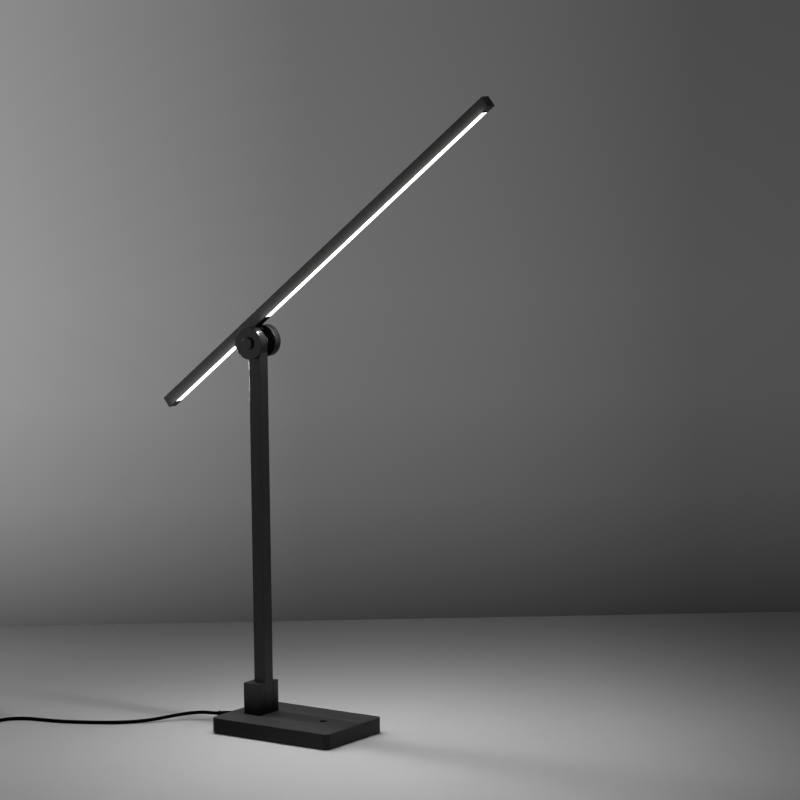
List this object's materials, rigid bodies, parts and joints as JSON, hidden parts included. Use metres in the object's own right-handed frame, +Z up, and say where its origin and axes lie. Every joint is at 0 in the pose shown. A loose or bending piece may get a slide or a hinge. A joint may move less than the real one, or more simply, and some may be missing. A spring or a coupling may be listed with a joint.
{
  "type": "led table lamp",
  "caption": "Table lamp with a slim square light bar that tilts on a square post, lit strips on the bar's underside, a flat weighted base with a push button, and a cord.",
  "frame": {"origin": "centre of the base's underside, on the surface that the lamp stands on", "axes": "+X along the base's long side towards the raised long end of the bar, +Y across the base towards its back, +Z up"},
  "size_m": [0.6653, 0.2795, 0.7146],
  "materials": {
    "black_paint": "satin",
    "black_anodised": "satin",
    "black_plastic": "satin",
    "cord_black": "matte",
    "pad_rubber": "matte",
    "steel": "satin",
    "dark_steel": "satin",
    "brass_pins": "polished",
    "board_green": "satin",
    "led_board_white": "matte",
    "opal": "matte",
    "lead_white": "matte",
    "switch_grey": "matte",
    "washer_nylon": "matte"
  },
  "bodies": {
    "base": {"base_shell": "black_paint", "bottom_cover": "dark_steel", "cover_screws": "dark_steel", "base_pad": "pad_rubber", "ballast_plate": "steel", "driver_board": "board_green", "board_screws": "steel", "terminal_block": "switch_grey", "switch_body": "switch_grey", "socket_block": "black_anodised", "socket_screws": "steel", "set_screws": "dark_steel", "post_tube": "black_anodised", "post_head": "black_anodised", "head_screw": "dark_steel", "post_lead": "lead_white", "cord_tail": "cord_black", "strain_relief": "cord_black", "cord": "cord_black", "cord_coil": "cord_black", "cord_tie": "black_plastic", "plug_boot": "cord_black", "plug_housing": "black_plastic", "plug_cover": "black_plastic", "plug_pins": "brass_pins", "converter_board": "board_green"},
    "button": {"button": "black_plastic", "switch_plunger": "switch_grey"},
    "light_bar": {"front_disc": "black_anodised", "rear_disc": "black_anodised", "front_cap": "black_plastic", "rear_cap": "black_plastic", "pivot_bolt": "steel", "pivot_nut": "steel", "friction_washers": "washer_nylon", "neck": "black_anodised", "dowel_pins": "steel", "neck_screws": "steel", "bar_channel": "black_anodised", "bar_bridge": "black_anodised", "bar_lead": "lead_white", "long_led_board": "led_board_white", "short_led_board": "led_board_white", "long_diffuser": "opal", "short_diffuser": "opal", "upper_end_cap": "black_plastic", "lower_end_cap": "black_plastic"}
  },
  "joints": [
    {"name": "bar_tilt", "type": "hinge", "parent": "base", "child": "light_bar", "pos_m": [-0.04475, 0, 0.4365], "axis": [0, -1, 0], "range_deg": [-128.8, 51.2]},
    {"name": "button_press", "type": "slide", "parent": "base", "child": "button", "axis": [0, 0, 1], "range_m": [-0.0008, 0], "stiffness_N_per_m": 1500, "springref_m": 0.0003}
  ]
}
